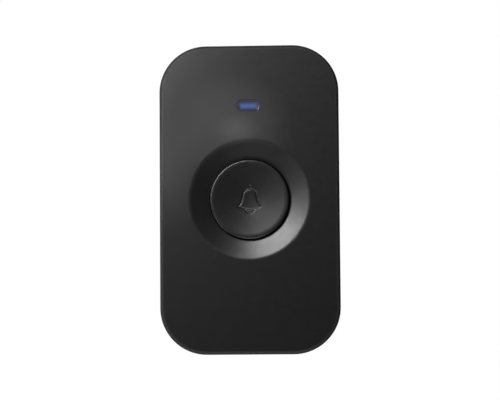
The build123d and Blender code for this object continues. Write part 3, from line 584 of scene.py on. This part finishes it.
drop_sunk, drop_share, least_lead = 0.02 * mm, 0.62, 0.5 * mm
drop_profile = [(0.02, 0.004), (1, 0.004), (0.86, -0.1), (0.62, -0.26)]
drop_profile += [(0.4, -0.42), (0.2, -0.5), (0.02, -0.52)]
drop_spots = []
for low, high in leads:
    place = ((low.x + high.x) / 2, board_face - drop_sunk, (low.z + high.z) / 2)
    drop_spots.append((place, drop_share * max(high.x - low.x, high.z - low.z, least_lead)))
repeat("solder_joints", drop_profile, drop_spots, spread=0.1)

via_lift, via_radius = 0.001 * mm, 0.42 * mm
via_profile = [(0.42, 0.02), (1, 0.02), (0.92, -0.26), (0.5, -0.26), (0.42, -0.2)]
vias = [(-10.87, -14.4), (-9.3, -14.4), (-10.8, 10.6), (7.2, 4.1)]
vias += [(-1.6, 17.5), (3.4, -15.6), (-2, -15.8)]
via_spots = [((x * mm, board_face - via_lift, z * mm), via_radius) for x, z in vias]
repeat("board_vias", via_profile, via_spots, spread=0.03)


# ---- Push switch: a moulded body under a tinned steel plate, its pins soldered to the board. Under
# the plunger lies a thin disc of sprung steel, pressed to a dome.
dress(inner_black, "switch_body", "switch_plunger")
dress(tin, "switch_plate", "switch_pins")
dome_low, dome_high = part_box("switch_dome")
dome_sheet, dome_travel, dome_curve = 0.12 * mm, 0.5 * mm, 2.32
dome_height = dome_high.y - dome_low.y
dome_radii = dome_high.x * np.array([0.03, *np.linspace(0.1, 0.95, 16), 0.985, 1])


def dome_ring(r, lift):
    """A ring of the dome at a radius; lift is 0 for its underside and the sheet for its top."""
    y = dome_high.y - lift - (dome_height - dome_sheet) * (1 - (r / dome_high.x) ** dome_curve)
    return circle(r, y, 48)


dome_rows = [dome_ring(r, 0) for r in dome_radii]
dome_rows += [dome_ring(r, dome_sheet) for r in dome_radii[::-1]]
snap_dome = add_piece("snap_dome", *capped(dome_rows), tin, "base", "tinned_steel", "switch_dome")
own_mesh(snap_dome)


# ---- Battery: a 12 volt cell in a nickel-plated can, under a blue shrink sleeve printed with a
# silver band and a line at its plus end and a dark ring at the other. It lies between two nickel
# plates pushed into the base, one of them with a coil spring.
def apart(tree, value, middle):
    """How far a value lies from a middle one."""
    return calculate(tree, "ABSOLUTE", calculate(tree, "SUBTRACT", value, middle))


def recolour(material, share, colour):
    """Turn a material toward another colour by a share from 0 to 1."""
    tree = material.node_tree
    base = tree.nodes["Principled BSDF"].inputs["Base Color"]
    tones = {"Factor": share, "A": base.links[0].from_socket, "B": (*colour, 1)}
    tree.links.new(add_node(tree, "ShaderNodeMix", tones, data_type="RGBA").outputs["Result"], base)


wrap = finish("shrink_wrap", (0.05, 0.11, 0.3), (0.12, 0.22), (1.5, 0.03))
sleeve_low, sleeve_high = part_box("battery_sleeve")
wrap_tree = wrap.node_tree
wrap_place = add_node(wrap_tree, "ShaderNodeTexCoord").outputs["Object"]
along_sleeve = add_node(wrap_tree, "ShaderNodeSeparateXYZ", {0: wrap_place}).outputs["X"]
silver_ink, dark_ink, ink_blur, past_end = (0.42, 0.42, 0.43), (0.02, 0.03, 0.07), 0.04 * mm, 1 * mm
for start, end, ink_colour in (
    (sleeve_high.x - 6.2 * mm, sleeve_high.x - 5.8 * mm, silver_ink),
    (sleeve_high.x - 5.4 * mm, sleeve_high.x + past_end, silver_ink),
    (sleeve_low.x - past_end, sleeve_low.x + 0.6 * mm, dark_ink),
):
    half = (end - start) / 2
    off_band = apart(wrap_tree, along_sleeve, (start + end) / 2)
    recolour(wrap, ramp(wrap_tree, off_band, half + ink_blur, half - ink_blur), ink_colour)
dress(wrap, "battery_sleeve")
dress(inner_black, "battery_washer")
dress(nickel, "battery_can", "battery_terminal", "battery_spring", "spring_plate", "terminal_plate")


# ---- Front cover: the shell with the dish and the button's collar, moulded in black ABS with a
# fine satin grain. Its top edge hooks on the base, and its foot snaps shut over the seal.
case_black = finish("case_abs", (0.0055, 0.0055, 0.0057), (0.33, 0.36), (0.2, 0.0028), shade=0.85)
case_tree = case_black.node_tree
case_place = add_node(case_tree, "ShaderNodeTexCoord").outputs


def wear_and_sheen(socket_name, share, most):
    """Add up to most to a socket of the case's finish, by a share from 0 to 1."""
    socket = case_tree.nodes["Principled BSDF"].inputs[socket_name]
    before = socket.links[0].from_socket
    added = calculate(case_tree, "MULTIPLY_ADD", share, [most] * 3, before, kind="VectorMath")
    case_tree.links.new(added, socket)


# Hands and sleeves rub the rounded outer edges dull. The dish, nearer the button, keeps its gloss.
edge_starts, edge_full, dish_reach, edge_dulling = 0.9998, 0.985, 18 * mm, 0.4
facing = add_node(case_tree, "ShaderNodeSeparateXYZ", {0: case_place["Normal"]}).outputs["Y"]
rounded = ramp(case_tree, calculate(case_tree, "ABSOLUTE", facing), edge_starts, edge_full)
on_face = calculate(case_tree, "MULTIPLY", case_place["Object"], (1, 0, 1), kind="VectorMath")
from_button = calculate(case_tree, "LENGTH", on_face, kind="VectorMath")
outside = calculate(case_tree, "GREATER_THAN", from_button, dish_reach)
wear_and_sheen("Roughness", calculate(case_tree, "MULTIPLY", rounded, outside), edge_dulling)

# Fingertips leave soft dull ovals above the button and left of it, on the flat face alone, and pale
# paint in two of them is a painted highlight: the middle and the half width and height of each in
# millimetres, extra roughness, painted highlight.
skin = 0.5 * mm
for (x, z), (half_x, half_z), dulling, painted_highlight in (
    ((-4.5, 19.5), (19, 18), 0.2, 0),
    ((-3.6, 19.5), (8, 5.5), 0, 0.022),
    ((-24, 9), (15, 20), 0, 0.016),
):
    middle, half_sizes = (x * mm, face_y, z * mm), (half_x * mm, skin, half_z * mm)
    laid_out = {
        "Vector": case_place["Object"],
        "Location": [-at / half for at, half in zip(middle, half_sizes)],
        "Scale": [1 / half for half in half_sizes],
    }
    oval = add_node(case_tree, "ShaderNodeMapping", laid_out).outputs["Vector"]
    off_oval = calculate(case_tree, "LENGTH", oval, kind="VectorMath")
    touched_and_lit = ramp(case_tree, off_oval, 1, 0, interpolation_type="SMOOTHSTEP")
    # The roughness is rubbed wear; the pale grey added to the colour is a painted highlight.
    for socket_name, most in (("Roughness", dulling), ("Base Color", painted_highlight)):
        if most:
            wear_and_sheen(socket_name, touched_and_lit, most)
dress(case_black, "front_cover")


# ---- Light pipe and window: clear blue acrylic, pressed into the cover's slot over the lamp. The
# face is flat and nearly flush with the cover, dark where it lies on the slot's black edge, with
# painted shade of the slot's edges darkening that border more along the top than the bottom, and
# its round ends rise to a low lip that is highest at the foot.
def eased(share):
    """A share held between 0 and 1, with soft ends."""
    share = min(max(share, 0), 1)
    return share * share * (3 - 2 * share)


dress(blue_clear, "light_pipe")
blue_window = finish("blue_window", (0.056, 0.09, 0.235), (0.2, 0.28), (0.9, 0.004), shade=0.9)
pipe_low, pipe_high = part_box("light_pipe")
window_x, window_z = (pipe_low.x + pipe_high.x) / 2, (pipe_low.z + pipe_high.z) / 2
clear_half_x, clear_half_z, clear_drop, clear_blur = 2.25 * mm, 0.66 * mm, 0.22 * mm, 0.45 * mm
window_rim_and_shade = (0.027, 0.026, 0.04)
window_tree = blue_window.node_tree
window_place = add_node(window_tree, "ShaderNodeTexCoord").outputs["Object"]
window_axes = add_node(window_tree, "ShaderNodeSeparateXYZ", {0: window_place}).outputs
clear_part = (("X", window_x, clear_half_x), ("Z", window_z - clear_drop, clear_half_z))
off_clear = [
    calculate(window_tree, "SUBTRACT", apart(window_tree, window_axes[axis], middle), half)
    for axis, middle, half in clear_part
]
# Outside a clear patch set low on the face, the colour turns dark: partly the acrylic over the
# slot's black edge, partly painted shade of the slot's edges, thicker along the top.
on_black_and_shaded = ramp(window_tree, calculate(window_tree, "MAXIMUM", *off_clear), -clear_blur, clear_blur)
recolour(blue_window, on_black_and_shaded, window_rim_and_shade)

# Sizes are half width, half height and corner radius: of the plug in the slot, and of the face.
plug_sizes, window_sizes = (3.13 * mm, 1.23 * mm, 1.2 * mm), (3.45 * mm, 1.55 * mm, 1.5 * mm)
window_floor, plug_front, lip_rise = face_y + 0.13 * mm, face_y + 0.43 * mm, 0.08 * mm
end_starts, lip_starts, lip_width = 1.7 * mm, 0.75 * mm, 0.55 * mm
foot_middle, foot_fall, foot_least, foot_most = 0.6, 1.25 * mm, 0.15, 0.95


def window_y(x, z):
    """How far out the window lies at a point from its middle."""
    into_end = max(abs(x) - end_starts, 0)
    away = math.hypot(into_end, (z + clear_drop) * min(into_end / end_starts, 1))
    foot = min(max(foot_middle - z / foot_fall, foot_least), foot_most)
    return window_floor - lip_rise * foot * eased((away - lip_starts) / lip_width)


def window_loop(sizes, y=None):
    """A loop round the window, at a depth or on its face."""
    return [
        (window_x + x, window_y(x, z) if y is None else y, window_z + z)
        for x, z, _, _ in outline(*sizes)
    ]


window_rows = [window_loop(plug_sizes, pipe_low.y), window_loop(plug_sizes, plug_front)]
for share in (*np.linspace(1, 0.4, 24), 0.2, 0.05):
    window_rows.append(window_loop([size * share for size in window_sizes]))
add_piece("window_face", *capped(window_rows), blue_window, "cover", "blue_window")


# ---- Button cap: a shallow dished crown with a line bell sunk into it, moulded in the case's
# plastic. Its flange is held behind the collar, and two notches in it keep the bell upright.
# A fine square patch holds the bell, and rings round it run to the edge and underside.
cap_low, cap_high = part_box("button_cap")
cap_radius, cap_edge, cap_front = 11.05 * mm, 0.45 * mm, cap_low.y + 0.55 * mm
flange_front, flange_back = face_y + 5.8 * mm, face_y + 6.8 * mm
flange_radius, flange_notch, notch_step = cap_high.z, 1.3 * mm, 0.02 * mm
cap_inner, cap_under, stem_radius, stem_end = 9.4 * mm, cap_low.y + 2.6 * mm, 3 * mm, cap_high.y
groove_depth, groove_floor, groove_lip = 0.18 * mm, 0.06 * mm, 0.38 * mm
# The crown's slope grows from the middle, holds, and dies away just inside the rounded edge.
crown_radii = np.linspace(0, cap_radius - cap_edge, 240)
slope_radii, slopes = [0, 3.9 * mm, 9.6 * mm, cap_radius - cap_edge], [0, 0.135, 0.182, 0]
crown_slopes = np.interp(crown_radii, slope_radii, slopes)
crown_dish = np.cumsum(crown_slopes[::-1])[::-1] * (crown_radii[1] - crown_radii[0])


def arc(centre, radius, start, end, steps):
    """Points along an arc, from the start angle to the end angle in degrees."""
    turns = [math.radians(a) for a in np.linspace(start, end, steps)]
    return [(centre[0] + radius * math.cos(a), centre[1] + radius * math.sin(a)) for a in turns]


def smooth_line(points, steps=7):
    """A curve through points, its slope at each set by the points on either side."""
    ends, line = [points[0], *points, points[-1]], []
    for a, b, c, d in zip(ends, ends[1:], ends[2:], ends[3:]):
        for t in np.linspace(0, 1, steps, endpoint=False):
            near_b, near_c = 2 - 5 * t**2 + 3 * t**3, t + 4 * t**2 - 3 * t**3
            pulls = ((a, -t + 2 * t**2 - t**3), (b, near_b), (c, near_c), (d, t**3 - t**2))
            line.append(tuple(sum(pull * point[i] for point, pull in pulls) / 2 for i in (0, 1)))
    return [*line, points[-1]]


# The bell's lines in millimetres from the button's middle: its body, mouth, loop and clapper.
bell_top, mouth_half_turn = (0, 2.82), 26.4
bell_side = [(0.8, 2.66), (1.5, 2.18), (1.84, 1.5), (1.97, 0.7)]
bell_side += [(2.08, 0.05), (2.27, -0.55), (2.6, -1.15), (3.2, -1.92)]
bell_lines = [
    smooth_line([(-x, z) for x, z in bell_side[::-1]] + [bell_top] + bell_side),
    arc((0, 4.53), 7.2, 270 - mouth_half_turn, 270 + mouth_half_turn, 24),
    [bell_top, (0, 3.85)],
    arc((0, -2.6), 1.25, 190, 350, 18),
]
strokes = np.array([(a, b) for line in bell_lines for a, b in zip(line, line[1:])]) * mm


def crown_y(x, z):
    """How far out the crown lies at a point: its shallow dish and the bell's groove."""
    dish = np.interp(math.hypot(x, z), crown_radii, crown_dish)
    starts, runs = strokes[:, 0], strokes[:, 1] - strokes[:, 0]
    offset = np.array((x, z)) - starts
    share = np.clip((offset * runs).sum(1) / (runs**2).sum(1), 0, 1)
    away = np.sqrt(((offset - share[:, None] * runs) ** 2).sum(1).min())
    wall = eased((away - groove_floor) / (groove_lip - groove_floor))
    return cap_front + dish + groove_depth * (1 - wall)


patch_cells, patch_half = 150, 4.6 * mm
patch_side = patch_cells + 1
grid = [patch_half * (2 * i / patch_cells - 1) for i in range(patch_side)]
cap_points = [(x, crown_y(x, z), z) for z in grid for x in grid]
cap_faces = [
    (start, start + 1, start + patch_side + 1, start + patch_side)
    for start in (j * patch_side + i for j in range(patch_cells) for i in range(patch_cells))
]
patch_rim = list(range(patch_cells))
patch_rim += [j * patch_side + patch_cells for j in range(patch_cells)]
patch_rim += [patch_cells * patch_side + i for i in range(patch_cells, 0, -1)]
patch_rim += [j * patch_side for j in range(patch_cells, 0, -1)]
rim_turns = [math.atan2(cap_points[i][2], cap_points[i][0]) for i in patch_rim]
rim_count = len(patch_rim)

# Each row holds a (radius, y) for every turn; a y of None lies on the crown, where the bell may be.
round_from, bell_within = 7 * mm, 5 * mm
rings_to_round, rings_of_crown, rings_of_edge = 8, 16, 7
cap_rows = []
for share in np.linspace(0, 1, rings_to_round + 1)[1:]:
    corners = [math.hypot(cap_points[i][0], cap_points[i][2]) for i in patch_rim]
    radii = [(1 - share) * corner + share * round_from for corner in corners]
    cap_rows.append([(r, crown_y(r, 0) if r > bell_within else None) for r in radii])
for r in np.linspace(round_from, crown_radii[-1], rings_of_crown + 1)[1:]:
    cap_rows.append([(r, crown_y(r, 0))] * rim_count)
for turn in np.radians(np.linspace(90, 0, rings_of_edge + 1)[1:]):
    across, down = cap_edge * math.cos(turn), cap_edge * (1 - math.sin(turn))
    cap_rows.append([(cap_radius - cap_edge + across, cap_front + down)] * rim_count)
notched = [
    cap_radius + notch_step if abs(flange_radius * math.sin(turn)) < flange_notch else flange_radius
    for turn in rim_turns
]
cap_rows.append([(cap_radius, flange_front)] * rim_count)
cap_rows += [[(r, y) for r in notched] for y in (flange_front, flange_back)]
hollow = ((cap_inner, flange_back), (cap_inner, cap_under))
stem = ((stem_radius, cap_under), (stem_radius, stem_end))
cap_rows += [[corner] * rim_count for corner in (*hollow, *stem)]
previous = patch_rim
for row in cap_rows:
    start = len(cap_points)
    for (r, y), turn in zip(row, rim_turns):
        x, z = r * math.cos(turn), r * math.sin(turn)
        cap_points.append((x, crown_y(x, z) if y is None else y, z))
    current = list(range(start, start + rim_count))
    for i in range(rim_count):
        cap_faces.append((previous[i], previous[i - 1], current[i - 1], current[i]))
    previous = current
cap_faces.append(tuple(previous[::-1]))
add_piece("push_cap", cap_points, cap_faces, case_black, "button", "case_black", "button_cap")


# ---- Button boot: a moulded silicone diaphragm with one rolled fold, which keeps water out round
# the cap's stem. The stem passes through its bead, and a black ring with four zinc-plated screws
# clamps its rim to the cover.
dress(inner_black, "boot_retainer")
dress(zinc, "retainer_screws")
boot_low, boot_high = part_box("button_boot")
boot_sheet, boot_hole, boot_rim = 0.6 * mm, 3.12 * mm, boot_high.x
boot_out, boot_in = boot_low.y, boot_low.y + boot_sheet
side_round, bead_round, rim_round = 0.1 * mm, 0.2 * mm, 0.15 * mm
fold_radius, fold_half, fold_drop = 8 * mm, 1.5 * mm, boot_high.y - boot_in - 0.02 * mm
boot_radii = np.linspace(boot_hole + side_round, boot_rim - side_round, 56)
folds = [fold_drop * eased(1 - abs(r - fold_radius) / fold_half) for r in boot_radii]
boot_profile = [
    (boot_hole, boot_out + bead_round),
    (boot_hole, boot_in - bead_round),
    *((r, boot_in + fold) for r, fold in zip(boot_radii, folds)),
    (boot_rim, boot_in - rim_round),
    (boot_rim, boot_out + rim_round),
    *((r, boot_out + fold) for r, fold in zip(boot_radii[::-1], folds[::-1])),
]
add_piece("stem_boot", *lathe(boot_profile, 96), silicone, "cover", "silicone", "button_boot")
